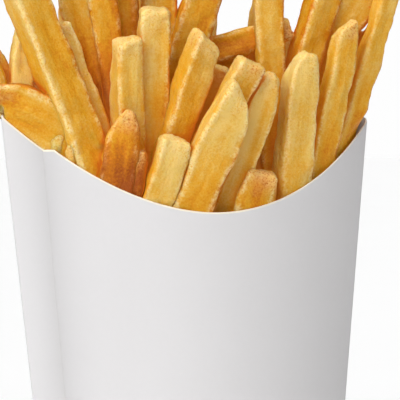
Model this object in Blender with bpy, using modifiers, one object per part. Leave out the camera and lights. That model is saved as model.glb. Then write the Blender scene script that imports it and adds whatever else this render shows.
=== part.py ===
"""A large portion of french fries standing in a white paperboard scoop.

The scoop is one sheet of board wrapped round a lens-shaped base. Two creases make its sides, and its
ends are glued in a lap near the left one. The front edge dips so that the fries can be reached, and the
back edge rises behind them. Every fry that stands above the edge is a stick in one bundle, grown
together with the packed fries below. Metres, +Z up, origin at the middle of the flat base, front at -Y.
"""

import math

import bmesh
import bpy
from mathutils import Matrix, Vector

MM = 0.001
X_AXIS = 0
Z_AXIS = 2
SAME_PLACE = 0.001 * MM  # points closer than this are one

# The scoop, in millimetres
MOUTH_HEIGHT = 110.0  # where its size is given
MOUTH_CHORD = 110.8  # from crease to crease
BULGE = 21.0  # how far the front and the back bow out
TAPER = 0.00186  # share of that size lost for each millimetre lower
LEAN = 0.05  # the scoop leans back by this much of its height
CREASE = 0.99  # share of the way to the sharp corner at which the board is bent round
BOARD = 0.5
GLUE = 0.1
CLEARANCE = 0.3  # between one piece and the next

# Its upper edge
FRONT_LOW = 82.0
FRONT_RISE = 28.3
FRONT_POWER = 1.95
FRONT_TILT = -2.0  # the left is cut a little higher than the right
BACK_RISE = 14.0
BACK_POWER = 2.2

# The lap, as places along the front between the creases, which are at -1 and 1
SEAM = -0.80
LAP = 0.17
CORNER_CUT = 0.055  # the strip under the seam is cut this much farther along than the front panel
RAMP_END = -0.30
SEAM_DENT = 0.9
DENT_REACH = 0.11

# The base: a plate with an upturned flange inside the board
BASE_FLANGE = 6.0
FLANGE_SHOULDER = 0.9  # the fries come out to the board this far above the flange

FRONT_STEPS = 36
BACK_STEPS = 32
LAP_STEPS = 4
STRIP_STEPS = 5

# The packed fries below the edge
CORE_DROP = 6.0  # how far they lie below the edge of the board
CORE_STEPS = 18
ROOM_STEPS = 40
ROOM_TURN = 0.975  # the room inside the board stops this short of the creases
ROOM_TOP = 190.0
ROOM_SPREAD = 60.0  # and reaches this far outside the board above its edge

# The fan of fries was laid out as seen from here: this way, this far off and this high
FACING = math.radians(-18)
TO_RIGHT = Vector((math.cos(FACING), math.sin(FACING), 0))
TOWARDS = Vector((math.sin(FACING), -math.cos(FACING), 0))
EYE_DISTANCE = 800.0
EYE_ACROSS = 3.5
EYE_HEIGHT = 99.0
SINK = 26.0  # how far an upright stick runs down into the packing
LEAST_SINK = 0.3  # share of that for one that lies flat
STICK_CUTS = 3
LAYER_ROUNDS = 6  # a fry's place in its layer is found in this many rounds

# Each fry: across and up where it leaves the packing, across and up at its tip, its layer from the
# front (0) to the back (1), how far its tip comes forward, its width and depth, its turn in degrees,
# its bow to the right, and how much longer its right side is than its left
FRIES = (
    # front row
    (-35.5, 100.0, -58.5, 114.5, 0.10, 4, 13.8, 7.8, 0, 3, 0),
    (-38.0, 98.8, -37.2, 103.8, 0.00, 1, 4.6, 3.4, 20, 0, 1),
    (-33.6, 95.5, -33.3, 100.8, 0.00, 1, 3.6, 3.0, 10, 0, 0),
    (-27.3, 95.1, -51.0, 155.1, 0.15, 6, 10.2, 9.0, 27, 0, 0),
    (-20.2, 88.5, -17.6, 110.8, 0.00, 2, 9.8, 6.5, 4, 0, 1),
    (-14.7, 86.5, -13.6, 99.3, 0.06, 1, 3.8, 4.0, 0, 0, 0),
    (-9.0, 84.5, -3.4, 102.8, 0.00, 3, 8.8, 6.5, 14, 0, 0),
    (1.2, 82.8, 15.6, 116.2, 0.00, 6, 11.0, 8.0, 10, -0.5, -6),
    (18.8, 82.2, 21.8, 93.4, 0.00, 1, 11.4, 6.5, 8, 0, 0),
    (29.6, 87.9, 33.3, 127.2, 0.06, 3, 9.4, 7.8, 24, 0, 2),
    (37.8, 95.1, 45.4, 135.8, 0.10, 2, 7.5, 5.6, 28, 0, 4),
    # second and third rows
    (-52.6, 112.3, -60.3, 132.2, 0.80, 0, 6.5, 5.5, 10, 0, 0),
    (-47.9, 112.2, -46.7, 134.8, 0.55, 2, 6.6, 6.0, 15, 0, 0),
    (-24.2, 100.8, -37.3, 135.3, 0.42, 4, 8.6, 7.5, 10, 0, 0),
    (-16.7, 99.3, -17.6, 131.3, 0.28, 7, 7.4, 7.8, 22, -0.5, 1.5),
    (-10.9, 99.3, -9.4, 139.9, 0.36, 6, 9.0, 8.2, 4, 0, 0),
    (-5.0, 99.3, 5.5, 131.3, 0.22, 6, 8.4, 8.0, 24, 0, -4),
    (-0.7, 89.3, 18.1, 124.8, 0.16, 5, 7.6, 7.4, 20, 0, 0),
    (12.4, 86.6, 23.8, 121.4, 0.12, 3, 8.0, 7.6, 8, 0, 1),
    (43.9, 100.8, 59.6, 152.4, 0.21, 2, 6.3, 5.5, 31, 0, 0),
    (-19.3, 106.5, -25.6, 151.5, 0.46, 3, 8.2, 8.0, 5, 0, 0),
    (-27.5, 122.2, -34.0, 153.0, 0.55, 2, 9.0, 8.0, -10, 0, 0),
    (3.6, 108.0, 9.4, 123.6, 0.34, 3, 7.4, 7.0, 0, 0, 0),
    (24.1, 112.2, 22.4, 153.5, 0.42, 1, 8.4, 8.0, 5, 0, 0),
    (30.8, 117.9, 42.0, 152.5, 0.45, 1, 8.6, 7.0, 28, 0, 0),
    (38.4, 125.1, 52.7, 149.3, 0.62, 1, 10.0, 8.0, 10, 0, 0),
    (-0.4, 127.9, 7.0, 150.3, 0.60, 2, 10.2, 8.5, 10, 0, 0),
    (3.5, 128.2, 29.3, 134.4, 0.70, 0, 7.6, 7.0, 0, 1.2, 0),
    (-17.9, 125.1, -19.9, 153.0, 0.62, 1, 9.5, 8.5, -6, 0, 0),
    # back rows
    (-8.7, 130.8, -7.9, 156.5, 0.76, -2, 10.0, 8.5, 5, 0, 0),
    (-47.0, 112.0, -56.5, 128.0, 0.90, -5, 6.0, 6.0, 0, 0, 0),
    (-38.0, 112.0, -44.5, 142.0, 0.90, -7, 7.5, 7.0, 20, 0, 2),
    (-31.0, 118.0, -31.5, 146.0, 0.85, -6, 8.5, 8.0, -15, 0, -2),
    (-23.0, 118.0, -22.5, 140.0, 0.95, -10, 8.0, 7.5, 10, 0, 0),
    (-14.0, 122.0, -14.0, 149.0, 0.90, -9, 8.5, 8.0, -20, 0, 3),
    (-5.0, 120.0, -9.0, 136.0, 1.00, -12, 7.5, 7.5, 15, 0, 0),
    (3.0, 120.0, 5.0, 145.0, 0.88, -8, 8.0, 8.0, 5, 0, -2),
    (11.0, 118.0, 15.0, 131.0, 0.90, -9, 8.0, 7.5, -10, 0, 0),
    (20.0, 118.0, 23.0, 147.0, 0.82, -6, 8.0, 8.0, 15, 0, 2),
    (28.0, 116.0, 28.5, 131.0, 0.95, -9, 7.5, 7.0, 0, 0, 0),
    (33.0, 116.0, 40.5, 148.0, 0.85, -6, 7.5, 7.5, -12, 0, 0),
    (41.0, 114.0, 50.0, 133.0, 0.92, -6, 7.0, 6.5, 10, 0, 0),
    (44.0, 112.0, 54.0, 134.0, 0.75, -3, 7.5, 6.0, 0, 0, -2),
    (-40.0, 104.0, -45.0, 121.5, 0.42, 0, 9.0, 7.0, 0, 0, 0),
    (8.0, 105.0, 11.0, 131.5, 0.84, 0, 12.0, 7.0, 0, 0, 0),
)


def clear_scene():
    for obj in list(bpy.data.objects):
        bpy.data.objects.remove(obj, do_unlink=True)


def add_collection(name):
    group = bpy.data.collections.new(name)
    bpy.context.scene.collection.children.link(group)
    return group


def add_object(name, mesh_data, group):
    mesh = bpy.data.meshes.new(name)
    mesh_data.normal_update()
    mesh_data.to_mesh(mesh)
    mesh_data.free()
    obj = bpy.data.objects.new(name, mesh)
    group.objects.link(obj)
    return obj


def hide_helper(obj):
    obj.hide_render = True
    obj.display_type = "WIRE"


def principled(name, color, roughness):
    material = bpy.data.materials.new(name)
    material.use_nodes = True
    shader = material.node_tree.nodes["Principled BSDF"]
    shader.inputs["Base Color"].default_value = (*color, 1)
    shader.inputs["Roughness"].default_value = roughness
    shader.inputs["Metallic"].default_value = 0.0
    return material


# ---- the scoop's surface ----

ARC_RADIUS = (MOUTH_CHORD**2 / 4 + BULGE**2) / (2 * BULGE)
ARC_HALF_ANGLE = math.asin(MOUTH_CHORD / 2 / ARC_RADIUS)


def seam_dent(t):
    """How far the board is drawn in beside the glued seam, a soft valley along it."""
    return SEAM_DENT * math.exp(-abs(t - SEAM) / DENT_REACH)


def board_point(side, t, height, outward=0.0):
    """A point of the board. side is -1 on the front and 1 on the back, and t runs from crease to crease."""
    angle = t * ARC_HALF_ANGLE
    normal = Vector((math.sin(angle), side * math.cos(angle)))
    plan = normal * ARC_RADIUS - Vector((0, side * (ARC_RADIUS - BULGE)))
    if side < 0:
        plan -= normal * seam_dent(t)
    scale = 1 - TAPER * (MOUTH_HEIGHT - height)
    plan = plan * scale + normal * outward
    return Vector((plan.x, plan.y + LEAN * height, height)) * MM


def front_edge(t):
    return FRONT_LOW + FRONT_RISE * abs(t) ** FRONT_POWER + FRONT_TILT * t


def strip_edge(t):
    """The edge of the strip that goes on under the seam."""
    return front_edge(t + CORNER_CUT)


def back_edge(t):
    left_tip, right_tip = strip_edge(-1), front_edge(1)
    tips = left_tip + (right_tip - left_tip) * (t + 1) / 2
    return tips + BACK_RISE * (1 - abs(t) ** BACK_POWER)


def outer_layer_lift(t):
    """The front panel lies on the lap beside the seam and comes down to the common surface past it."""
    share = min(1.0, max(0.0, (RAMP_END - t) / (RAMP_END - (SEAM + LAP))))
    return (BOARD + GLUE) * share * share * (3 - 2 * share)


def spaced(start, end, steps):
    return [start + (end - start) * i / steps for i in range(steps + 1)]


def sheet_stations():
    """(side, t, outward, edge height) once round the sheet, from under the lap to the seam on top of it."""
    stations = []
    for t in spaced(SEAM + LAP, SEAM, LAP_STEPS)[:-1] + spaced(SEAM, -CREASE, STRIP_STEPS):
        stations.append((-1, t, 0.0, strip_edge(t)))
    for t in spaced(-CREASE, CREASE, BACK_STEPS):
        stations.append((1, t, 0.0, back_edge(t)))
    for t in spaced(CREASE, SEAM + LAP, FRONT_STEPS) + spaced(SEAM + LAP, SEAM, LAP_STEPS)[1:]:
        stations.append((-1, t, outer_layer_lift(t), front_edge(max(t, SEAM + CORNER_CUT))))
    return stations


def wrapped_grid(columns, rows, place):
    """A Blender grid whose vertex in column i, row j is moved to place(i, j)."""
    bm = bmesh.new()
    bmesh.ops.create_grid(bm, x_segments=columns - 1, y_segments=rows - 1, size=1)
    for vert in bm.verts:
        i = round((vert.co.x + 1) / 2 * (columns - 1))
        j = round((vert.co.y + 1) / 2 * (rows - 1))
        vert.co = place(i, j)
    return bm


def solidify(obj, thickness, offset):
    modifier = obj.modifiers.new("board", "SOLIDIFY")
    modifier.thickness = thickness * MM
    modifier.offset = offset
    modifier.use_even_offset = True
    return modifier


def build_wall(group):
    stations = sheet_stations()

    def place(i, j):
        side, t, outward, edge = stations[i]
        return board_point(side, t, edge * j, outward)

    bm = wrapped_grid(len(stations), 2, place)
    wall = add_object("carton_wall", bm, group)
    solidify(wall, BOARD, 1)
    return wall


def ring_places(turn, steps):
    """(side, t) once round the board, stopping short of the creases."""
    places = [(-1, t) for t in spaced(-turn, turn, steps)]
    return places + [(1, t) for t in spaced(turn, -turn, steps)]


def closed_loft(places, rings, capped_top):
    """A skin round the given places through rings of points, with a flat bottom and perhaps a top."""

    def place(i, j):
        side, t = places[i % len(places)]
        return rings[j](side, t)

    bm = wrapped_grid(len(places) + 1, len(rings), place)
    bmesh.ops.remove_doubles(bm, verts=bm.verts, dist=SAME_PLACE)
    rims = [edge for edge in bm.edges if edge.is_boundary]
    if not capped_top:
        lowest = min(vert.co.z for vert in bm.verts) + SAME_PLACE
        rims = [edge for edge in rims if all(vert.co.z < lowest for vert in edge.verts)]
    bmesh.ops.edgeloop_fill(bm, edges=rims)
    bmesh.ops.recalc_face_normals(bm, faces=bm.faces)
    return bm


def build_base(group):
    inset = -(BOARD + CLEARANCE)
    rings = (
        lambda side, t: board_point(side, t, 0, inset),
        lambda side, t: board_point(side, t, BASE_FLANGE, inset),
    )
    bm = closed_loft(ring_places(ROOM_TURN, CORE_STEPS), rings, capped_top=False)
    base = add_object("carton_base", bm, group)
    solidify(base, BOARD, -1)
    return base


# ---- the fries ----


def block(axis, cuts):
    """A cube from -1 to 1 with this many more rings along one of its axes."""
    bm = bmesh.new()
    bmesh.ops.create_cube(bm, size=2)
    along = [edge for edge in bm.edges if edge.verts[0].co[axis] != edge.verts[1].co[axis]]
    bmesh.ops.subdivide_edges(bm, edges=along, cuts=cuts, use_grid_fill=True)
    return bm


def seen(across, up, forward):
    """The point seen at this place across and up, this much nearer than the middle of the mouth."""
    nearer = 1 - forward / EYE_DISTANCE
    sideways = EYE_ACROSS + (across - EYE_ACROSS) * nearer
    level = EYE_HEIGHT + (up - EYE_HEIGHT) * nearer
    return Vector((0, LEAN * MOUTH_HEIGHT, level)) + TO_RIGHT * sideways + TOWARDS * forward


def forward_in_layer(across, up, layer):
    """How far forward the middle of a fry lies in this layer, where it is seen at across and up."""
    forward = 0.0
    for _ in range(LAYER_ROUNDS):
        point = seen(across, up, forward)
        t = math.asin(max(-1, min(1, point.x / ARC_RADIUS))) / ARC_HALF_ANGLE
        t = max(-ROOM_TURN, min(ROOM_TURN, t))
        front = board_point(-1, t, up).y / MM
        back = board_point(1, t, up).y / MM
        wanted = front + (back - front) * layer
        forward += (point.y - wanted) / math.cos(FACING)
    return forward


def add_stick(name, fry, group):
    """One fry: a bar of four sides that bends a little between its foot in the packing and its tip."""
    low_across, low_up, tip_across, tip_up, layer, lean, width, depth, turn, bow, slant = fry
    forward = forward_in_layer(low_across, low_up, layer)
    forward += (BOARD + CLEARANCE + depth / 2) * (2 * layer - 1)
    low = seen(low_across, low_up, forward)
    tip = seen(tip_across, tip_up, forward + lean)
    axis = (tip - low).normalized()
    foot = low - axis * SINK * max(LEAST_SINK, axis.z**2)
    side = Matrix.Rotation(math.radians(turn), 3, axis) @ axis.cross(TOWARDS).normalized()
    front = side.cross(axis)
    bm = block(Z_AXIS, STICK_CUTS)
    for vert in bm.verts:
        along = (vert.co.z + 1) / 2
        middle = foot.lerp(tip, along) + side * bow * 4 * along * (1 - along)
        point = middle + side * vert.co.x * width / 2 + front * vert.co.y * depth / 2
        if along == 1:
            point += axis * slant / 2 * vert.co.x
        vert.co = point * MM
    bmesh.ops.recalc_face_normals(bm, faces=bm.faces)
    stick = add_object(name, bm, group)
    hide_helper(stick)
    return stick


def build_packing(group):
    """The packed fries below the edge, to which the sticks are joined, before they are trimmed."""
    bm = block(X_AXIS, CORE_STEPS * 2 - 1)
    for vert in bm.verts:
        side = 1 if vert.co.y > 0 else -1
        edge = back_edge(vert.co.x) if side > 0 else front_edge(vert.co.x)
        height = edge - CORE_DROP if vert.co.z > 0 else 0
        vert.co = board_point(side, vert.co.x * ROOM_TURN, height)
    bmesh.ops.recalc_face_normals(bm, faces=bm.faces)
    return add_object("fries_bundle", bm, group)


def build_room(group):
    """Where the fries may be: clear of the board and the base, and anywhere above the board's edge."""
    to_board = -(BOARD + CLEARANCE)
    to_flange = to_board * 2

    def edge(side, t):
        return (back_edge(t) if side > 0 else front_edge(t)) + CLEARANCE

    rings = (
        lambda side, t: board_point(side, t, BOARD + CLEARANCE, to_flange),
        lambda side, t: board_point(side, t, BASE_FLANGE + CLEARANCE, to_flange),
        lambda side, t: board_point(side, t, BASE_FLANGE + FLANGE_SHOULDER, to_board),
        lambda side, t: board_point(side, t, edge(side, t), to_board),
        lambda side, t: board_point(side, t, edge(side, t) + CLEARANCE, ROOM_SPREAD),
        lambda side, t: board_point(side, t, ROOM_TOP, ROOM_SPREAD),
    )
    room = add_object("room", closed_loft(ring_places(ROOM_TURN, ROOM_STEPS), rings, True), group)
    hide_helper(room)
    return room


def build_bundle(group, helpers):
    sticks = bpy.data.collections.new("fry sticks")
    helpers.children.link(sticks)
    for number, fry in enumerate(FRIES):
        add_stick(f"stick_{number:02d}", fry, sticks)
    bundle = build_packing(group)
    join = bundle.modifiers.new("sticks", "BOOLEAN")
    join.operation = "UNION"
    join.operand_type = "COLLECTION"
    join.collection = sticks
    join.use_self = True
    trim = bundle.modifiers.new("inside the board", "BOOLEAN")
    trim.operation = "INTERSECT"
    trim.object = build_room(helpers)
    return bundle


def main():
    clear_scene()
    group = add_collection("fries in a scoop")
    helpers = add_collection("cutters")
    white_board = principled("white board", (0.86, 0.86, 0.87), 0.55)
    golden_fry = principled("golden fry", (0.83, 0.53, 0.16), 0.45)
    for piece, material in (
        (build_wall(group), white_board),
        (build_base(group), white_board),
        (build_bundle(group, helpers), golden_fry),
    ):
        piece.data.materials.append(material)


main()
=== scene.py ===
# French fries in a white paperboard scoop: the finish of every surface, in metres, +Z up.
import math
import random
from collections import namedtuple

import bmesh
import bpy
from mathutils import Matrix, Vector, noise
from mathutils.bvhtree import BVHTree


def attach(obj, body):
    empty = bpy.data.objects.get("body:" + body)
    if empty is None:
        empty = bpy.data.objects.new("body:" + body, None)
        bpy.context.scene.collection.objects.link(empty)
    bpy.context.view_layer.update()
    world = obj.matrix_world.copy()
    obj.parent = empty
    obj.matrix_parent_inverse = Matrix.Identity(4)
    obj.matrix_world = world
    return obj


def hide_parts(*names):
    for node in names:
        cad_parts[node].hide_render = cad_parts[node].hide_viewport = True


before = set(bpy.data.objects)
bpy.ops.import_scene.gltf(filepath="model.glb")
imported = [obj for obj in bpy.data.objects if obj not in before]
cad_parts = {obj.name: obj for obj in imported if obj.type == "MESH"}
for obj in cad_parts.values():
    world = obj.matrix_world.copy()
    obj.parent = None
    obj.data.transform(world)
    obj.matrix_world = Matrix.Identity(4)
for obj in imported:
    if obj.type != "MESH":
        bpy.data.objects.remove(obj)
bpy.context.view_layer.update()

mm = 0.001
print("frame loaded:", sorted(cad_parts))


class Sock:
    # A node's output. Python's signs add the Math or Vector Math nodes.
    def __init__(self, graph, socket):
        self.graph = graph
        self.socket = socket

    def isVector(self):
        return self.socket.type in ("VECTOR", "RGBA")

    def calc(self, operation, *others):
        return self.graph.maths(operation, self, *others)

    def within(self, limit):
        return self.calc("MINIMUM", limit).calc("MAXIMUM", -limit)

    def __add__(self, other):
        return self.graph.maths("ADD", self, other)

    def __radd__(self, other):
        return self.graph.maths("ADD", other, self)

    def __sub__(self, other):
        return self.graph.maths("SUBTRACT", self, other)

    def __rsub__(self, other):
        return self.graph.maths("SUBTRACT", other, self)

    def __mul__(self, other):
        return self.graph.maths("MULTIPLY", self, other)

    def __rmul__(self, other):
        return self.graph.maths("MULTIPLY", other, self)

    def __truediv__(self, other):
        return self.graph.maths("DIVIDE", self, other)

    def __rtruediv__(self, other):
        return self.graph.maths("DIVIDE", other, self)

    def __pow__(self, other):
        return self.graph.maths("POWER", self, other)

    def __neg__(self):
        return self.graph.maths("MULTIPLY", self, -1.0)

    def __abs__(self):
        return self.graph.maths("ABSOLUTE", self)


class Graph:
    # A node tree that is written from the inputs to the result.
    def __init__(self, tree):
        self.tree = tree

    def add(self, kind, settings=None, values=None, output=0):
        node = self.tree.nodes.new(kind)
        for name, setting in (settings or {}).items():
            if name == "stops":
                self.setStops(node.color_ramp, setting)
            else:
                setattr(node, name, setting)
        for name, value in (values or {}).items():
            self.put(node, name, value)
        return Sock(self, self.pick(node.outputs, output))

    def pick(self, sockets, name):
        shown = [s for s in sockets if s.enabled]
        if isinstance(name, int):
            return shown[name]
        return next(s for s in shown if name in (s.name, s.identifier))

    def put(self, node, name, value):
        socket = self.pick(node.inputs, name)
        if isinstance(value, Sock):
            self.tree.links.new(value.socket, socket)
        else:
            socket.default_value = (*value, 1) if socket.type == "RGBA" else value

    def setStops(self, ramp, stops):
        while len(ramp.elements) > 1:
            ramp.elements.remove(ramp.elements[-1])
        for i, (place, color) in enumerate(stops):
            stop = ramp.elements[0] if i == 0 else ramp.elements.new(place)
            stop.position = place
            stop.color = (*color, 1)

    def maths(self, operation, *values):
        vectors = [isinstance(v, (Vector, tuple)) or isinstance(v, Sock) and v.isVector() for v in values]
        if not any(vectors):
            return self.add("ShaderNodeMath", {"operation": operation}, dict(enumerate(values)))
        if operation == "MULTIPLY" and not all(vectors):
            vector, number = values if vectors[0] else reversed(values)
            return self.add("ShaderNodeVectorMath", {"operation": "SCALE"}, {0: vector, "Scale": number})
        return self.add("ShaderNodeVectorMath", {"operation": operation}, dict(enumerate(values)))

    def combine(self, x, y, z):
        return self.add("ShaderNodeCombineXYZ", None, {0: x, 1: y, 2: z})

    def split(self, vector):
        parts = self.add("ShaderNodeSeparateXYZ", None, {0: vector})
        return [Sock(self, s) for s in parts.socket.node.outputs]

    def noise(self, place, scale, detail=2.0, roughness=0.5):
        values = {"Vector": place, "Scale": scale, "Detail": detail, "Roughness": roughness}
        return self.add("ShaderNodeTexNoise", None, values)

    def fade(self, value, start, end, low=0.0, high=1.0):
        values = {"Value": value, "From Min": start, "From Max": end, "To Min": low, "To Max": high}
        return self.add("ShaderNodeMapRange", {"interpolation_type": "SMOOTHSTEP"}, values)

    def mixColor(self, factor, a, b):
        values = {"Factor_Float": factor, "A_Color": a, "B_Color": b}
        return self.add("ShaderNodeMix", {"data_type": "RGBA"}, values)

    def attribute(self, name, output="Fac"):
        return self.add("ShaderNodeAttribute", {"attribute_name": name}, None, output)

    def objectPlace(self):
        return self.add("ShaderNodeTexCoord", None, None, "Object")


def newMaterial(name, constants):
    material = bpy.data.materials.new(name)
    material.use_nodes = True
    shader = material.node_tree.nodes["Principled BSDF"]
    for socket, value in constants.items():
        shader.inputs[socket].default_value = value
    return material, Graph(material.node_tree), shader


def addObject(name, data):
    added = bpy.data.objects.new(name, data)
    bpy.context.scene.collection.objects.link(added)
    return added


def addMesh(name, bm):
    mesh = bpy.data.meshes.new(name)
    bm.to_mesh(mesh)
    bm.free()
    return addObject(name, mesh)


def markPoints(mesh, name, values):
    mesh.attributes.new(name, "FLOAT", "POINT").data.foreach_set("value", values)


scoop = {
    "mouthHeight": 110.0 * mm,
    "mouthChord": 110.8 * mm,  # crease to crease, at the mouth's height
    "bulge": 21.0 * mm,  # how far each panel stands out from the line between the creases
    "taper": 1.86,  # share of the size lost for each metre lower
    "lean": 0.05,  # how far the middle goes back, as a share of the height
    "board": 0.5 * mm,
    "glue": 0.1 * mm,
    "cutRound": 0.07 * mm,
    "crease": 0.99,  # where the sheet turns from one panel to the other
    "frontLow": 82.0 * mm,  # the height of the dip, and how far its corners rise above it
    "frontRise": 28.3 * mm,
    "frontPower": 1.95,
    "frontTilt": -2.0 * mm,
    "backRise": 14.0 * mm,
    "backPower": 2.2,
    "seam": -0.80,  # places along the front run from -1 to 1, crease to crease
    "lap": 0.17,
    "cornerCut": 0.055,
    "rampEnd": -0.30,  # from here on the front panel lies on the common surface
    "seamDent": 0.9 * mm,
    "dentReach": 0.11,
    "frontColumns": 150,
    "backColumns": 110,
    "underColumns": 16,
    "sideColumns": 20,
    "overColumns": 12,
    "rows": 48,
}
arcRadius = (scoop["mouthChord"] ** 2 / 4 + scoop["bulge"] ** 2) / (2 * scoop["bulge"])
arcHalfAngle = math.asin(scoop["mouthChord"] / 2 / arcRadius)
arcCentre = arcRadius - scoop["bulge"]


def boardPoint(side, t, height, outward=0.0):
    # A point on the outer face of the board. The side is -1 at the front and 1 at the back.
    angle = t * arcHalfAngle
    normal = Vector((math.sin(angle), side * math.cos(angle)))
    plan = normal * arcRadius - Vector((0, side * arcCentre))
    if side < 0:
        plan -= normal * scoop["seamDent"] * math.exp(-abs(t - scoop["seam"]) / scoop["dentReach"])
    plan = plan * (1 - scoop["taper"] * (scoop["mouthHeight"] - height)) + normal * outward
    return Vector((plan.x, plan.y + scoop["lean"] * height, height))


def frontEdge(t):  # the edges take a number or a socket
    return scoop["frontLow"] + scoop["frontRise"] * abs(t) ** scoop["frontPower"] + scoop["frontTilt"] * t


def stripEdge(t):  # the strip that goes on under the seam
    return frontEdge(t + scoop["cornerCut"])


def backEdge(t):
    leftTip = stripEdge(-1)
    tips = leftTip + (frontEdge(1) - leftTip) * (t + 1) / 2
    return tips + scoop["backRise"] * (1 - abs(t) ** scoop["backPower"])


def outerLift(t):  # the front panel lies on the lap and comes down to the common surface past it
    share = (scoop["rampEnd"] - t) / (scoop["rampEnd"] - scoop["seam"] - scoop["lap"])
    share = min(1.0, max(0.0, share))
    return (scoop["board"] + scoop["glue"]) * share * share * (3 - 2 * share)


def spaced(start, end, steps):
    return [start + (end - start) * i / steps for i in range(steps + 1)]


def sheetStations():
    # Each column of the sheet: its side, its place along it, how far out it lies and where its edge is.
    lap, crease, seam = scoop["lap"], scoop["crease"], scoop["seam"]
    corner = seam + scoop["cornerCut"]
    under = spaced(seam + lap, seam, scoop["underColumns"])[:-1]
    under += spaced(seam, -crease, scoop["sideColumns"])
    stations = [(-1, t, 0.0, stripEdge(t)) for t in under]
    stations += [(1, t, 0.0, backEdge(t)) for t in spaced(-crease, crease, scoop["backColumns"])]
    over = spaced(crease, corner, scoop["frontColumns"])
    over += spaced(corner, seam, scoop["overColumns"])[1:]
    stations += [(-1, t, outerLift(t), frontEdge(max(t, corner))) for t in over]
    return stations


def makeScoop(boardMaterial, edgeMaterial):
    stations = sheetStations()
    columns = len(stations) - 1
    fromSeam = []  # a metre on the back panel, which the seam's shade doesn't reach
    fromEdge = []
    bm = bmesh.new()
    bmesh.ops.create_grid(bm, x_segments=columns, y_segments=scoop["rows"], size=1)
    for vert in bm.verts:
        side, t, outward, edge = stations[round((vert.co.x + 1) / 2 * columns)]
        vert.co = boardPoint(side, t, edge * (vert.co.y + 1) / 2, outward)
        fromSeam.append(abs(t - scoop["seam"]) * arcHalfAngle * arcRadius if side < 0 else 1.0)
        fromEdge.append(edge - vert.co.z)
    for face in bm.faces:
        face.smooth = True
    wall = addMesh("scoopWall", bm)
    markPoints(wall.data, "seamDistance", fromSeam)
    markPoints(wall.data, "edgeDistance", fromEdge)
    wall.data.materials.append(boardMaterial)
    wall.data.materials.append(edgeMaterial)
    thick = wall.modifiers.new("board", "SOLIDIFY")
    thick.thickness = scoop["board"]
    thick.offset = 1  # inwards, because the faces of the grid look into the scoop
    thick.material_offset_rim = 1
    thick.use_even_offset = True
    softened = wall.modifiers.new("cut edge", "BEVEL")
    softened.width = scoop["cutRound"]
    softened.segments = 2
    softened.limit_method = "ANGLE"
    softened.angle_limit = math.radians(60)
    return wall


fanView = {  # the fan was laid out as seen from here
    "turn": math.radians(-18),
    "tilt": math.radians(1),
    "distance": 800 * mm,
    "width": 114.3 * mm,  # what the picture's width takes in at the mouth
    "eyeAcross": 3.5 * mm,
    "eyeHeight": 99 * mm,
    "centreHeight": 85.1 * mm,
}
viewRight = Vector((math.cos(fanView["turn"]), math.sin(fanView["turn"]), 0))
viewTowards = Vector((math.sin(fanView["turn"]), -math.cos(fanView["turn"]), 0))

fryShape = {
    "Fullness": 1.05,
    "Corner radius": 1.6 * mm,
    "Hollow": 0.04,
    "Waist": 0.10,
    "Lumps": 0.75 * mm,
    "Ridges": 0.55 * mm,
    "Crust": 0.38 * mm,
    "Rough end": 1.0 * mm,
    "Wander": 0.6 * mm,
    "Twist": 0.4,
    "Board play": 0.15 * mm,
    "Layer play": 3.0 * mm,  # what is further back keeps further from the board
    "Across": 13,  # points of each fry's grid
    "Along": 80,
}
footDepth = 26 * mm  # how far a fry goes on below the place where it leaves the packing
boardGap = 0.3 * mm
mostAcross = 0.975  # how close to a crease the panels are measured

# Each fry, in millimetres as the fan is seen: across and up where it leaves the packing, across and up
# at its tip, its layer from the front (0) to the back (1), how far its tip comes forward, its width and
# depth, its turn in degrees, its bow and how much longer its right side is. Then its tone, darker below
# 0 and paler above it, and how pointed its tip is
Fry = namedtuple("Fry", "lowAcross lowUp tipAcross tipUp layer lean width depth turn bow slant tone taper")
frontFries = (
    (-35.5, 100.0, -58.5, 114.5, 0.10, 4, 13.8, 7.8, 0, 3.0, 0, -0.1, 0.6),
    (-38.0, 98.8, -37.2, 103.8, 0.00, 1, 4.6, 3.4, 20, 0, 1, 0.5, 0.5),
    (-33.6, 95.5, -33.3, 100.8, 0.00, 1, 3.6, 3.0, 10, 0, 0, 0.5, 0.5),
    (-27.3, 95.1, -51.0, 155.1, 0.15, 6, 10.2, 9.0, 27, 0, 0, 0.3, 0.1),
    (-20.2, 88.5, -17.6, 110.8, 0.00, 2, 9.8, 6.5, 4, 0, 1, -0.85, 0.72),
    (-14.7, 86.5, -13.6, 99.3, 0.06, 1, 3.8, 4.0, 0, 0, 0, -0.8, 0.3),
    (-9.0, 84.5, -3.4, 102.8, 0.00, 3, 8.8, 6.5, 14, 0, 0, 0.8, 0.1),
    (1.2, 82.8, 15.6, 116.2, 0.00, 6, 11.0, 8.0, 10, -0.5, -6, 0.35, 0.4),
    (18.8, 82.2, 21.8, 93.4, 0.00, 1, 11.4, 6.5, 8, 0, 0, -0.5, 0.3),
    (29.6, 87.9, 33.3, 127.2, 0.06, 3, 9.4, 7.8, 24, 0, 2, 0.75, 0.5),
    (37.8, 95.1, 45.4, 135.8, 0.10, 2, 7.5, 5.6, 28, 0, 4, 0.3, 0.4),
)
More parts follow.
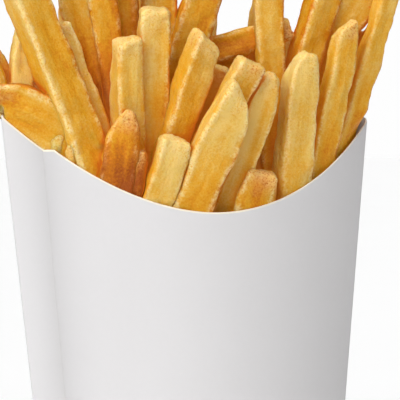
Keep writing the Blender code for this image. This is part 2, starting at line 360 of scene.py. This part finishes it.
middleFries = (
    (-52.6, 112.3, -60.3, 132.2, 0.80, 0, 6.5, 5.5, 10, 0, 0, 0.9, 0.2),
    (-47.9, 112.2, -46.7, 134.8, 0.55, 2, 6.6, 6.0, 15, 0, 0, 0.8, 0.3),
    (-24.7, 100.8, -37.8, 135.3, 0.42, 4, 8.0, 7.5, 10, 0, 0, 0.7, 0.2),
    (-16.7, 99.3, -17.6, 131.3, 0.28, 7, 7.4, 7.8, 22, -0.5, 1.5, 0.5, 0.05),
    (-10.9, 99.3, -9.4, 139.9, 0.36, 6, 9.0, 8.2, 4, 0, 0, 0.5, 0.1),
    (-5.0, 99.3, 5.5, 131.3, 0.22, 6, 8.4, 8.0, 24, 0, -4, 0.1, 0.15),
    (-0.7, 89.3, 18.1, 124.8, 0.16, 5, 7.6, 7.4, 20, 0, 0, -0.4, 0.0),
    (12.4, 86.6, 23.8, 121.4, 0.12, 3, 8.0, 7.6, 8, 0, 1.0, 0.5, 0.6),
    (43.9, 100.8, 59.6, 152.4, 0.21, 2, 6.3, 5.5, 31, 0, 0, 0.3, 0.1),
    (-19.3, 106.5, -25.6, 151.5, 0.46, 3, 8.2, 8.0, 5, 0, 0, -0.45, 0.3),
    (-27.5, 122.2, -34.0, 153.0, 0.55, 2, 9.0, 8.0, -10, 0, 0, 0.2, 0.2),
    (3.6, 108.0, 9.4, 123.6, 0.34, 3, 7.4, 7.0, 0, 0, 0, 0.0, 0.3),
    (24.1, 112.2, 22.4, 153.5, 0.42, 1, 8.4, 8.0, 5, 0, 0, 0.1, 0.1),
    (30.8, 117.9, 42.0, 152.5, 0.45, 1, 8.6, 7.0, 28, 0, 0, -0.25, 0.1),
    (38.4, 125.1, 52.7, 149.3, 0.62, 1, 10.0, 8.0, 10, 0, 0, 0.1, 0.2),
    (-0.4, 127.9, 7.0, 150.3, 0.60, 2, 10.2, 8.5, 10, 0, 0, -0.5, 0.1),
    (3.5, 128.2, 29.3, 134.4, 0.70, 0, 7.6, 7.0, 0, 1.2, 0, -0.6, 0.2),
    (-17.9, 125.1, -19.9, 153.0, 0.62, 1, 9.5, 8.5, -6, 0, 0, -0.35, 0.3),
)
backFries = (
    (-8.7, 130.8, -7.9, 156.5, 0.76, -2, 10.0, 8.5, 5, 0, 0, -0.1, 0.2),
    (-47.0, 112.0, -56.5, 128.0, 0.90, -5, 6.0, 6.0, 0, 0, 0, 0.2, 0.2),
    (-38.0, 112.0, -44.5, 142.0, 0.90, -7, 7.5, 7.0, 20, 0, 2, 0.4, 0.2),
    (-31.0, 118.0, -31.5, 146.0, 0.85, -6, 8.5, 8.0, -15, 0, -2, -0.2, 0.1),
    (-23.0, 118.0, -22.5, 140.0, 0.95, -10, 8.0, 7.5, 10, 0, 0, 0.1, 0.3),
    (-14.0, 122.0, -14.0, 149.0, 0.90, -9, 8.5, 8.0, -20, 0, 3, 0.5, 0.1),
    (-5.0, 120.0, -9.0, 136.0, 1.00, -12, 7.5, 7.5, 15, 0, 0, -0.4, 0.2),
    (3.0, 120.0, 5.0, 145.0, 0.88, -8, 8.0, 8.0, 5, 0, -2, 0.0, 0.3),
    (11.0, 118.0, 15.0, 131.0, 0.90, -9, 8.0, 7.5, -10, 0, 0, 0.3, 0.1),
    (20.0, 118.0, 23.0, 147.0, 0.82, -6, 8.0, 8.0, 15, 0, 2, -0.1, 0.2),
    (28.0, 116.0, 28.5, 131.0, 0.95, -9, 7.5, 7.0, 0, 0, 0, 0.2, 0.2),
    (33.0, 116.0, 40.5, 148.0, 0.85, -6, 7.5, 7.5, -12, 0, 0, 0.3, 0.1),
    (41.0, 114.0, 50.0, 133.0, 0.92, -6, 7.0, 6.5, 10, 0, 0, -0.3, 0.3),
    (44.0, 112.0, 54.0, 134.0, 0.75, -3, 7.5, 6.0, 0, 0, -2, 0.3, 0.2),
    # painted shade: this fry is coloured almost burnt to darken a deep gap on the left
    (-40.0, 104.0, -45.0, 121.5, 0.42, 0, 9.0, 7.0, 0, 0, 0, -1.8, 0.2),
    (8.0, 105.0, 11.0, 131.5, 0.84, 0, 12.0, 7.0, 0, 0, 0, -0.8, 0.2),
)


def seen(across, up, forward):
    # A place in the fan as it is seen from the camera, moved towards it along the line of sight.
    nearer = 1 - forward / fanView["distance"]
    level = fanView["eyeHeight"] + (up - fanView["eyeHeight"]) * nearer
    sideways = fanView["eyeAcross"] + (across - fanView["eyeAcross"]) * nearer
    middle = Vector((0, scoop["lean"] * scoop["mouthHeight"], level))
    return middle + viewRight * sideways + viewTowards * forward


def forwardInLayer(across, up, layer):
    # How far forward a layer is there, from the front panel (0) to the back one (1), by closer steps.
    forward = 0.0
    for _ in range(6):
        point = seen(across, up, forward)
        t = math.asin(max(-1, min(1, point.x / arcRadius))) / arcHalfAngle
        t = max(-mostAcross, min(mostAcross, t))
        front = boardPoint(-1, t, up).y
        back = boardPoint(1, t, up).y
        forward += (point.y - front - (back - front) * layer) / math.cos(fanView["turn"])
    return forward


def fryGuide(fry):
    # The foot, the bend and the tip of one fry, and which way its right side faces.
    forward = forwardInLayer(fry.lowAcross * mm, fry.lowUp * mm, fry.layer)
    forward += (scoop["board"] + boardGap + fry.depth / 2 * mm) * (2 * fry.layer - 1)
    low = seen(fry.lowAcross * mm, fry.lowUp * mm, forward)
    tip = seen(fry.tipAcross * mm, fry.tipUp * mm, forward + fry.lean * mm)
    axis = (tip - low).normalized()
    foot = low - axis * footDepth * max(0.3, axis.z ** 2)
    side = Matrix.Rotation(math.radians(fry.turn), 3, axis) @ axis.cross(viewTowards).normalized()
    bend = (foot + tip) / 2 + side * fry.bow * 2 * mm  # the curve goes half as far out as its bend
    return foot, bend, tip, side


shapeScale = {  # waves for each metre
    "waist": 45,
    "wander": 30,
    "hollow": 60,
    "lumps": 150,
    "ridges": 270,
    "cutEnd": 340,
    "crust": 420,
}
tipReach = {"taper": 11 * mm, "slant": (12 * mm, 1 * mm), "cutEnd": (5 * mm, 0.5 * mm)}


def buildFryTree():
    tree = bpy.data.node_groups.new("fries along guides", "GeometryNodeTree")
    inputs = {"Guides": "NodeSocketGeometry"}
    for name, value in fryShape.items():
        inputs[name] = "NodeSocketInt" if isinstance(value, int) else "NodeSocketFloat"
    inputs.update({"Seed": "NodeSocketInt", "Material": "NodeSocketMaterial"})
    for name, kind in inputs.items():
        tree.interface.new_socket(name=name, in_out="INPUT", socket_type=kind)
    tree.interface.new_socket(name="Fries", in_out="OUTPUT", socket_type="NodeSocketGeometry")
    graph = Graph(tree)
    entry = tree.nodes.new("NodeGroupInput")
    given = {s.name: Sock(graph, s) for s in entry.outputs if s.name}

    def stored(name):
        return graph.add("GeometryNodeInputNamedAttribute", {"data_type": "FLOAT_VECTOR"}, {"Name": name})

    def store(geometry, name, value, kind="FLOAT_VECTOR"):
        values = {"Geometry": geometry, "Name": name, "Value": value}
        return graph.add("GeometryNodeStoreNamedAttribute", {"data_type": kind, "domain": "POINT"}, values)

    def crowded(value, amount):  # the grid's lines moved towards its ends
        return (value * amount).calc("SINE") / math.sin(amount)

    def drift(start, row, pattern):  # a slow change along the fry
        return graph.noise(graph.combine(start, row, along * shapeScale[pattern]), 1.0, 1.0) - 0.5

    # one bar of a fine grid for each guide
    counts = {"Vertices X": given["Across"], "Vertices Y": given["Across"], "Vertices Z": given["Along"]}
    bar = graph.add("GeometryNodeMeshCube", None, {"Size": (2, 2, 2), **counts})
    bar = store(bar, "barPlace", graph.add("GeometryNodeInputPosition"))
    points = graph.add("GeometryNodeMeshToPoints", None, {"Mesh": given["Guides"]})
    bars = graph.add("GeometryNodeInstanceOnPoints", None, {"Points": points, "Instance": bar})
    bars = graph.add("GeometryNodeRealizeInstances", None, {"Geometry": bars})

    # rounded and dented in its own place, across, deep and along
    u, v, w = graph.split(stored("barPlace"))
    u, v, w = crowded(u, 1.25), crowded(v, 1.25), crowded(w, 1.3)
    foot, bend, tip, side = stored("foot"), stored("bend"), stored("tip"), stored("side")
    halfWidth, halfDepth, slant = graph.split(stored("size"))
    tone, taper, number = graph.split(stored("kind"))
    footShade, footShadeHeight, layer = graph.split(stored("packing"))
    length = foot.calc("DISTANCE", tip)
    shift = (number + given["Seed"]) * 0.37  # a place of its own in every pattern
    along = w * length / 2
    toTip = length / 2 - along
    nearTip = (1 - toTip / tipReach["taper"]).calc("MAXIMUM", 0.0)
    thin = 1 - taper * nearTip * nearTip
    wide = given["Fullness"] + drift(shift, number * 3.1, "waist") * given["Waist"] * 4
    deep = given["Fullness"] + drift(shift + 9, number * 1.7, "waist") * given["Waist"] * 4
    halfX = halfWidth * wide * thin
    halfY = halfDepth * deep * (thin * 0.5 + 0.5)  # the depth tapers half as much
    radius = given["Corner radius"] * (0.65 + 0.7 * graph.noise(graph.combine(number, shift, 0.0), 3.3))
    radius = radius.calc("MINIMUM", halfX * 0.85).calc("MINIMUM", halfY * 0.85)
    half = graph.combine(halfX, halfY, length / 2)
    boxPlace = graph.combine(u * halfX, v * halfY, along)
    innerHalf = half - graph.combine(radius, radius, radius)
    inner = boxPlace.within(innerHalf)
    outwards = (boxPlace - inner).calc("NORMALIZE")
    x, y, z = graph.split(inner + outwards * radius)
    shareX = x / halfX
    shareY = y / halfY
    hollow = graph.noise(graph.combine(shift, along * shapeScale["hollow"], number), 1.0)
    hollow = given["Hollow"] * (0.5 + hollow)
    x = x * (1 - hollow * (1 - shareY * shareY))
    y = y * (1 - hollow * (1 - shareX * shareX))
    spot = graph.combine(x, y, z + number * 0.31)
    drawnOut = graph.combine(x, y, z * 0.18 + number * 0.31)
    lumps = graph.noise(spot, shapeScale["lumps"], 1.0) - 0.5
    crust = graph.noise(spot, shapeScale["crust"], 2.0) - 0.5
    ridges = graph.noise(drawnOut, shapeScale["ridges"], 1.0) - 0.5
    torn = graph.noise(spot, shapeScale["cutEnd"], 3.0, 0.6) - 0.5
    torn = torn * graph.fade(toTip, *tipReach["cutEnd"])
    swell = lumps * given["Lumps"] + crust * given["Crust"]
    swell = (swell + torn * given["Rough end"] + ridges * given["Ridges"]) * 2
    x, y, z = graph.split(graph.combine(x, y, z) + outwards * swell)

    # carried to its guide
    z = z + slant / 2 * shareX * graph.fade(toTip, *tipReach["slant"])
    x = x + drift(shift + 3, number, "wander") * given["Wander"] * 4
    y = y + drift(shift + 5, number, "wander") * given["Wander"] * 4
    turning = graph.noise(graph.combine(shift, number, 7.0), 3.7) - 0.5
    angle = turning * given["Twist"] * along / (20 * mm)
    cosine, sine = angle.calc("COSINE"), angle.calc("SINE")
    x, y = x * cosine - y * sine, x * sine + y * cosine
    share = z / length + 0.5
    rest = 1 - share
    centre = foot * (rest * rest) + bend * (rest * share * 2) + tip * (share * share)
    heading = ((bend - foot) * rest + (tip - bend) * share).calc("NORMALIZE")
    side = (side - heading * side.calc("DOT_PRODUCT", heading)).calc("NORMALIZE")
    front = heading.calc("CROSS_PRODUCT", side)
    place = centre + side * x + front * y
    place, rise = keepInScoop(graph, place, given["Board play"] + layer * given["Layer play"])

    # what the crust's material reads
    fries = store(bars, "fryLook", graph.combine(shareX, shareY, tone))
    fries = store(fries, "fryGrain", graph.combine(x + number * 0.013, y + number * 0.029, z))
    fries = store(fries, "fryToTip", toTip, "FLOAT")
    # painted shade, darker towards the foot of each fry and deep in the pile
    fries = store(fries, "fryFootShade", graph.fade(rise, footShadeHeight, 3 * mm) * footShade, "FLOAT")
    fries = graph.add("GeometryNodeSetPosition", None, {"Geometry": fries, "Position": place})
    fries = graph.add("GeometryNodeSetShadeSmooth", None, {"Geometry": fries})
    fries = graph.add("GeometryNodeRealizeInstances", None, {"Geometry": fries})
    fries = graph.add("GeometryNodeSetMaterial", None, {"Geometry": fries, "Material": given["Material"]})
    leave = tree.nodes.new("NodeGroupOutput")
    tree.links.new(fries.socket, leave.inputs[0])
    return tree


pressed = {  # how far above the edge a fry is free, and from where down it is pressed flat
    "front": (6 * mm, 0.8 * mm),
    "back": (10 * mm, 0.8 * mm),
    "corner": (4 * mm, 0.5 * mm),
}
cornerGap = 1.4 * mm


def keepInScoop(graph, place, play):
    # Below the board's edge a fry is pressed flat against the inside of the board. The second result is
    # the height above the front edge.
    x, y, z = graph.split(place)
    scale = 1 - (scoop["mouthHeight"] - z) * scoop["taper"]
    plan = x / scale
    root = (arcRadius ** 2 - plan * plan).calc("MAXIMUM", (arcCentre * 0.9) ** 2).calc("SQRT")
    t = (plan / arcRadius).within(1.0).calc("ARCSINE") / arcHalfAngle
    inset = (scoop["board"] + play) * arcRadius / root
    dent = scoop["seamDent"] * (-abs(t - scoop["seam"]) / scoop["dentReach"]).calc("EXPONENT")
    middle = z * scoop["lean"]
    reach = (root - arcCentre) * scale - inset
    aboveFront, aboveBack = z - frontEdge(t), z - backEdge(t)
    frontLimit = middle - (reach - dent).calc("MAXIMUM", 0.0)
    backLimit = middle + reach.calc("MAXIMUM", 0.0)
    y = y + (frontLimit - y).calc("MAXIMUM", 0.0) * graph.fade(aboveFront, *pressed["front"])
    y = y - (y - backLimit).calc("MAXIMUM", 0.0) * graph.fade(aboveBack, *pressed["back"])
    widest = scale * (scoop["mouthChord"] / 2 - cornerGap)
    x = x - (x - x.within(widest)) * graph.fade(aboveBack, *pressed["corner"])
    return graph.combine(x, y, z), aboveFront


paintedFootShade = {  # painted shade: how much darker a fry's foot is, and how far above the front edge that reaches
    "most": (0.25, 15 * mm),
    "besideTheLongFry": (0.8, 15 * mm),
    "behindTheMiddle": (3.0, 46 * mm),
}


def footShadeAt(fry):
    if fry.layer > 0.45 and -35 < fry.lowAcross < 15:
        return paintedFootShade["behindTheMiddle"]
    if -22 < fry.lowAcross < -12:
        return paintedFootShade["besideTheLongFry"]
    return paintedFootShade["most"]


def makeFries(name, rows, material, seed):
    guides = bpy.data.meshes.new(name + "Guides")
    guides.from_pydata([(0, 0, 0)] * len(rows), [], [])
    columns = {key: [] for key in ("foot", "bend", "tip", "side", "size", "kind", "packing")}
    for i, fry in enumerate(Fry(*row) for row in rows):
        size = Vector((fry.width / 2, fry.depth / 2, fry.slant)) * mm
        kind = (fry.tone, fry.taper, i + seed * 20)  # and a number that no other fry has
        values = (*fryGuide(fry), size, kind, (*footShadeAt(fry), fry.layer))
        for column, value in zip(columns.values(), values):
            column.extend(value)
    for key, values in columns.items():
        guides.attributes.new(key, "FLOAT_VECTOR", "POINT").data.foreach_set("vector", values)
    source = addObject(name + "Guides", guides)
    tree = bpy.data.node_groups.get("fries along guides") or buildFryTree()
    modifier = source.modifiers.new("fries", "NODES")
    modifier.node_group = tree
    values = {**fryShape, "Seed": seed, "Material": material}
    for socket in tree.interface.items_tree:
        if socket.in_out == "INPUT" and socket.name in values:
            modifier[socket.identifier] = values[socket.name]
    depsgraph = bpy.context.evaluated_depsgraph_get()
    evaluated = source.evaluated_get(depsgraph)
    mesh = bpy.data.meshes.new_from_object(evaluated, preserve_all_data_layers=True, depsgraph=depsgraph)
    mesh.name = name
    fries = addObject(name, mesh)
    bpy.data.objects.remove(source)
    print(name, len(rows), "fries,", sum(len(p.vertices) - 2 for p in mesh.polygons), "triangles")
    return fries


nest = {
    "reach": 13.0 * mm,  # another fry further off than this doesn't count
    "rays": 16,
    "spread": 0.9,
    "clear": 0.5 * mm,  # how far above the crust a ray starts
    "seed": 5,
}


def markNests(pieces):
    # How much each place on the fries is shut in by the other fries around it, from 0 to 1.
    everything = bmesh.new()
    owners = []
    for piece, rows in pieces:
        everything.from_mesh(piece.data)
        eachFry = len(piece.data.polygons) // len(rows)
        owners += [(piece.name, face // eachFry) for face in range(len(piece.data.polygons))]
    around = BVHTree.FromBMesh(everything)
    everything.free()
    rng = random.Random(nest["seed"])
    fan = []
    while len(fan) < nest["rays"]:
        direction = Vector([rng.uniform(-1, 1) for _ in range(3)])
        if 0.1 < direction.length < 1:
            fan.append(direction.normalized() * nest["spread"])
    for piece, rows in pieces:
        eachFry = len(piece.data.vertices) // len(rows)
        values = []
        for vert in piece.data.vertices:
            owner = (piece.name, vert.index // eachFry)
            start = vert.co + vert.normal * nest["clear"]
            shut = 0.0
            for direction in fan:
                ray = (vert.normal + direction).normalized()
                facing, face, distance = around.ray_cast(start, ray, nest["reach"])[1:]
                if distance is not None and owners[face] != owner and facing.dot(ray) < 0:
                    shut += 1 - distance / nest["reach"]
            values.append(shut / len(fan))
        # the fry material paints shade and glow from this
        markPoints(piece.data, "fryNest", values)


core = {
    "low": 20 * mm,
    "drop": 9 * mm,  # how far its top stays below the board's edge
    "share": 0.9,  # of the room inside the board
    "reach": 0.93,  # towards the creases
    "steepness": 1.6,  # how soon its side reaches the full height
    "flatness": 1.3,  # how soon its top and bottom reach the full width
    "lumps": 5 * mm,
    "lumpScale": 5,
    "patches": 200,  # waves for each metre in its colour
    "around": 72,
    "rings": 26,
}


def makeCore(material):
    # The middle of the packing, which shows only as dark places between the fries.
    bm = bmesh.new()
    bmesh.ops.create_uvsphere(bm, u_segments=core["around"], v_segments=core["rings"], radius=1)
    for vert in bm.verts:
        turn = math.atan2(vert.co.y, vert.co.x)
        side = 1 if vert.co.y > 0 else -1
        t = math.cos(turn) * core["reach"]
        level = min(1.0, core["steepness"] * (vert.co.z + 1) / 2)
        inwards = min(1.0, math.hypot(vert.co.x, vert.co.y) * core["flatness"])
        front, back = frontEdge(t) - core["drop"], backEdge(t) - core["drop"]
        top = front + (back - front) * 0.5 * (1 + side * abs(math.sin(turn)) * inwards)
        spot = Vector((vert.co.x * core["lumpScale"], vert.co.y * core["lumpScale"], 0.3))
        top += core["lumps"] * noise.noise(spot)
        rim = boardPoint(side, t, core["low"] + (top - core["low"]) * level)
        middle = Vector((0, scoop["lean"] * rim.z, rim.z))
        vert.co = middle + (rim - middle) * core["share"] * inwards
    bmesh.ops.recalc_face_normals(bm, faces=bm.faces)
    for face in bm.faces:
        face.smooth = True
    piece = addMesh("friesCore", bm)
    piece.data.materials.append(material)
    return piece


boardLook = {
    "color": (0.615, 0.605, 0.61),
    "shade": (0.565, 0.555, 0.56),
    "fibres": 900,  # waves for each metre
    "clouds": 60,
    "pressed": 2400,
    "roughness": 0.55,
    "bump": 0.10,
    "bumpHeight": 0.05 * mm,
    "seam": 0.22,  # painted shade: how dark the valley beside the seam is painted
    "seamReach": 9 * mm,
    "bare": (0.78, 0.71, 0.56),  # the thin line of uncoated board along the edge
    "bareFade": (0.55 * mm, 0.35 * mm),
    "bareRagged": 0.2 * mm,
    "bareRight": (38 * mm, 4 * mm, 0.45),  # fainter towards the right
}
cutLook = {"color": (0.95, 0.91, 0.84), "shade": (0.88, 0.82, 0.72), "plies": 1500, "roughness": 0.75}


def makeBoard(name, bareEdge):
    material, graph, shader = newMaterial(name, {"Specular IOR Level": 0.2})
    place = graph.objectPlace()
    fibre = graph.noise(place, boardLook["fibres"], 3.0)
    cloud = graph.noise(place, boardLook["clouds"], 2.0)
    color = graph.mixColor(fibre * 0.3 + cloud * 0.3, boardLook["color"], boardLook["shade"])
    # painted shade: darker on both sides of the seam, fading off over seamReach
    paintedSeamShade = (graph.attribute("seamDistance") / -boardLook["seamReach"]).calc("EXPONENT")
    color = graph.mixColor(paintedSeamShade * boardLook["seam"], color, (0, 0, 0))
    if bareEdge:
        ragged = graph.attribute("edgeDistance") + (fibre - 0.5) * boardLook["bareRagged"]
        bare = graph.fade(ragged, *boardLook["bareFade"])
        bare = bare * graph.fade(graph.split(place)[0], *boardLook["bareRight"])
        color = graph.mixColor(bare, color, boardLook["bare"])
    height = graph.noise(place, boardLook["pressed"], 2.0)
    values = {"Strength": boardLook["bump"], "Distance": boardLook["bumpHeight"], "Height": height}
    graph.put(shader, "Base Color", color)
    graph.put(shader, "Roughness", boardLook["roughness"] + fibre * 0.1)
    graph.put(shader, "Normal", graph.add("ShaderNodeBump", None, values))
    return material


def makeCutEdge():
    material, graph, shader = newMaterial("cut board edge", {"Specular IOR Level": 0.2})
    plies = graph.noise(graph.objectPlace(), cutLook["plies"], 3.0)
    graph.put(shader, "Base Color", graph.mixColor(plies, cutLook["color"], cutLook["shade"]))
    graph.put(shader, "Roughness", cutLook["roughness"] + plies * 0.15)
    return material


fryLook = {
    "burnt": (0.29, 0.062, 0.005),
    "amber": (0.54, 0.18, 0.004),
    "golden": (0.62, 0.30, 0.012),
    "straw": (0.64, 0.365, 0.051),
    "pale": (0.68, 0.475, 0.135),
    # painted shade between the fries, and deeper painted shade in the gaps
    "nest": (0.69, 0.265, 0.020),
    "depth": (0.50, 0.108, 0.010),
    # painted glow in place of light passing through the fries: orange everywhere, stronger where they are
    # shut in
    "paintedGlow": (0.12, 0.042, 0.003),
    "paintedWarmGlow": (0.030, 0.009, 0.0),
    "brown": (0.30, 0.09, 0.006),
    # pale crust on the ridges and tips, partly a painted highlight
    "ridge": (0.81, 0.68, 0.33),
    "roughness": 0.36,
    "bump": 0.9,
    "bumpHeight": 0.6 * mm,
}
fryStops = {"burnt": 0.08, "amber": 0.32, "golden": 0.46, "straw": 0.58, "pale": 0.74}
fryMarks = {  # waves for each metre, the share of them along the fry, detail and roughness
    "cloud": (120, 0.4, 2.0, 0.5),
    "band": (230, 0.07, 1.0, 0.5),
    "streak": (520, 0.12, 2.0, 0.5),
    "patch": (320, 1.0, 3.0, 0.5),
    "speckle": (1100, 1.0, 3.0, 0.6),
    "grains": (1700, 1.0, 3.0, 0.7),
    "sides": (28, 0.2, 0.0, 0.5),
    "scar": (260, 1.0, 2.0, 0.5),
}
startTone = -0.38  # what the sum of the parts below starts from
paler = {  # how much each one moves the crust towards pale, or towards burnt below 0
    "cloud": 0.38,
    "band": 0.40,
    "streak": 0.30,
    "patch": 0.22,
    "grains": 0.44,
    "tone": 0.20,
    # painted light: paler over the last 45 mm towards the tip
    "paintedLightTowardsTip": 0.07,
    # painted light and shade: each fry paler on its left side and darker on its right
    "across": -0.06,
    # painted shade towards the foot
    "footShade": -0.28,
    "nestShade": -0.05,
    "flank": -0.13,
    "pits": -0.08,
}
fryFade = {  # where each one starts and where it is full
    "paintedLightTowardsTip": (45 * mm, 5 * mm),
    "tipEnd": (12 * mm, 3 * mm),
    "nestShade": (0.14, 0.70),
    "depth": (0.36, 0.68),
    "flank": (0.70, 0.98),
    "sides": (0.35, 0.60),
    "pits": (0.52, 0.40),
    "ridge": (0.60, 0.92),
    "paleRidges": (0.46, 0.76),
    "grainy": (0.30, 0.52),
    "scar": (0.74, 0.80),
}


def makeGolden():
    constants = {
        "Subsurface Weight": 0.6,
        "Subsurface Radius": (1.0, 0.6, 0.2),
        "Subsurface Scale": 2.0 * mm,
        "Specular IOR Level": 0.14,
        "Coat Roughness": 0.2,
        "Emission Strength": 1.0,
    }
    material, graph, shader = newMaterial("golden fry", constants)
    across, deep, tone = graph.split(graph.attribute("fryLook", "Vector"))
    grainX, grainY, grainZ = graph.split(graph.attribute("fryGrain", "Vector"))
    shut, footShade, toTip = [graph.attribute(name) for name in ("fryNest", "fryFootShade", "fryToTip")]
    marks = {}
    for name, (scale, along, detail, roughness) in fryMarks.items():
        place = graph.combine(grainX, grainY, grainZ * along)
        marks[name] = graph.noise(place, scale, detail, roughness)
    patch, speckle, grains = marks["patch"], marks["speckle"], marks["grains"]

    # how pale the crust is at each place
    # painted shade where other fries shut a place in
    nestShade = graph.fade(shut, *fryFade["nestShade"])
    tipEnd = graph.fade(toTip + patch * 8 * mm, *fryFade["tipEnd"])
    flank = graph.fade(abs(across), *fryFade["flank"]) * graph.fade(marks["sides"], *fryFade["sides"])
    parts = {
        **marks,
        "tone": tone,
        "paintedLightTowardsTip": graph.fade(toTip, *fryFade["paintedLightTowardsTip"]),
        "across": across,
        "footShade": footShade,
        "nestShade": nestShade,
        "flank": flank,
        "pits": graph.fade(grains, *fryFade["pits"]) * tipEnd,
    }
    fried = startTone
    for name, weight in paler.items():
        fried = fried + parts[name] * weight
    stops = [(place, fryLook[name]) for name, place in fryStops.items()]
    color = graph.add("ShaderNodeValToRGB", {"stops": stops}, {"Fac": fried}, "Color")

    # the pale crust on the ridges and tips, partly a painted highlight; painted shade and painted glow
    # between the fries; and a few brown scars
    ridge = graph.fade(abs(across * deep) + speckle * 0.4 - 0.20, *fryFade["ridge"])
    crustAndSheen = ridge * graph.fade(patch + fried * 0.3, *fryFade["paleRidges"]) + tipEnd * 0.5
    crustAndSheen = crustAndSheen * graph.fade(grains, *fryFade["grainy"]) * (1 - nestShade * 0.7)
    crustAndSheen = crustAndSheen * graph.fade(fried, 0.05, 0.45, 0.2)
    color = graph.mixColor(crustAndSheen * 0.85, color, fryLook["ridge"])
    color = graph.mixColor(nestShade * graph.fade(footShade, 0.9, 0.3, 0.1, 0.4), color, fryLook["nest"])
    color = graph.mixColor(graph.fade(shut, *fryFade["depth"]) * 0.8, color, fryLook["depth"])
    color = graph.mixColor(graph.fade(marks["scar"], *fryFade["scar"]) * 0.6, color, fryLook["brown"])
    height = speckle * 0.5 + patch * 0.6 + marks["streak"] * 0.8 + grains * (0.2 + crustAndSheen * 0.3)
    values = {"Strength": fryLook["bump"], "Distance": fryLook["bumpHeight"], "Height": height}
    graph.put(shader, "Base Color", color)
    graph.put(shader, "Roughness", fryLook["roughness"] + speckle * 0.25)
    graph.put(shader, "Coat Weight", crustAndSheen.calc("MINIMUM", 1.0) * 0.5)
    graph.put(shader, "Emission Color", graph.mixColor(nestShade, fryLook["paintedWarmGlow"], fryLook["paintedGlow"]))
    graph.put(shader, "Normal", graph.add("ShaderNodeBump", None, values))
    return material


def makePacked():
    constants = {"Specular IOR Level": 0.2, "Roughness": 0.6}
    material, graph, shader = newMaterial("fries in the dark", constants)
    patch = graph.noise(graph.objectPlace(), core["patches"], 3.0)
    # painted shade: the hidden middle of the packing takes the dark colours of the gaps between the fries
    graph.put(shader, "Base Color", graph.mixColor(patch, fryLook["nest"], fryLook["amber"]))
    return material


suns = {  # turn from the front and rise, in degrees, then the softness in degrees and the strength
    "key light": (-57, 33, 50, 2.38),
    "fill light": (-22, 8, 80, 0.86),
    "top light": (0, 80, 60, 1.62),
}
surroundings = {"light": 0.12, "seen": 0.99}  # how much white light comes from around, and its look
floorLook = {
    "radius": 40.0,
    "color": (0.93, 0.93, 0.93),
    "sheen": (0.95, 0.95, 0.95),
    "clouds": 3.0,
    "scuffs": 40.0,
    "roughness": 0.7,
}


def addSun(name, turn, rise, softness, strength):
    lamp = bpy.data.lights.new(name, "SUN")
    lamp.energy = strength
    lamp.angle = math.radians(softness)
    turn, rise = math.radians(turn), math.radians(rise)
    towards = Vector((math.sin(turn) * math.cos(rise), -math.cos(turn) * math.cos(rise), math.sin(rise)))
    addObject(name, lamp).rotation_euler = towards.to_track_quat("Z", "Y").to_euler()


def makeFloor():
    bm = bmesh.new()
    bmesh.ops.create_circle(bm, segments=96, radius=floorLook["radius"], cap_ends=True)
    floor = addMesh("floor", bm)
    material, graph, shader = newMaterial("pale floor", {"Specular IOR Level": 0.2})
    place = graph.objectPlace()
    cloud = graph.noise(place, floorLook["clouds"])
    graph.put(shader, "Base Color", graph.mixColor(cloud, floorLook["color"], floorLook["sheen"]))
    graph.put(shader, "Roughness", floorLook["roughness"] + graph.noise(place, floorLook["scuffs"]) * 0.1)
    floor.data.materials.append(material)


def makeSurroundings():
    world = bpy.data.worlds.new("white surroundings")
    world.use_nodes = True
    graph = Graph(world.node_tree)
    background = world.node_tree.nodes["Background"]
    background.inputs["Color"].default_value = (1, 1, 1, 1)
    direct = graph.add("ShaderNodeLightPath", None, None, "Is Camera Ray")
    more = surroundings["seen"] - surroundings["light"]
    graph.put(background, "Strength", surroundings["light"] + direct * more)
    bpy.context.scene.world = world
    bpy.context.scene.view_settings.view_transform = "Standard"


def makeCamera():
    camera = addObject("camera", bpy.data.cameras.new("camera"))
    backwards = viewTowards * math.cos(fanView["tilt"]) + Vector((0, 0, math.sin(fanView["tilt"])))
    upwards = backwards.cross(viewRight)
    target = seen(fanView["eyeAcross"], fanView["centreHeight"], 0)
    turned = Matrix((viewRight, upwards, backwards)).transposed().to_4x4()
    turned.translation = target + backwards * fanView["distance"]
    camera.matrix_world = turned
    camera.data.lens = camera.data.sensor_width * fanView["distance"] / fanView["width"]
    camera.data.clip_start = 0.01
    bpy.context.scene.camera = camera


makeCamera()
makeFloor()
for name, sun in suns.items():
    addSun(name, *sun)
makeSurroundings()
print("camera, floor and light done")

wall = makeScoop(makeBoard("white board", True), makeCutEdge())
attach(wall, "root")
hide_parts("carton_wall")
# the base has no seamDistance, so the painted seam shade darkens all of it
inside = makeBoard("white board inside", False)
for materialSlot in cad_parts["carton_base"].material_slots:
    materialSlot.material = inside
print("scoop done")

golden = makeGolden()
bundle = [
    (makeFries("friesFront", frontFries, golden, 1), frontFries),
    (makeFries("friesMiddle", middleFries, golden, 2), middleFries),
    (makeFries("friesBack", backFries, golden, 3), backFries),
]
markNests(bundle)
print("nests marked")
fryPieces = [piece for piece, rows in bundle] + [makeCore(makePacked())]
for piece in fryPieces:
    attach(piece, "root")
    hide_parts("fries_bundle")
print("fries done")
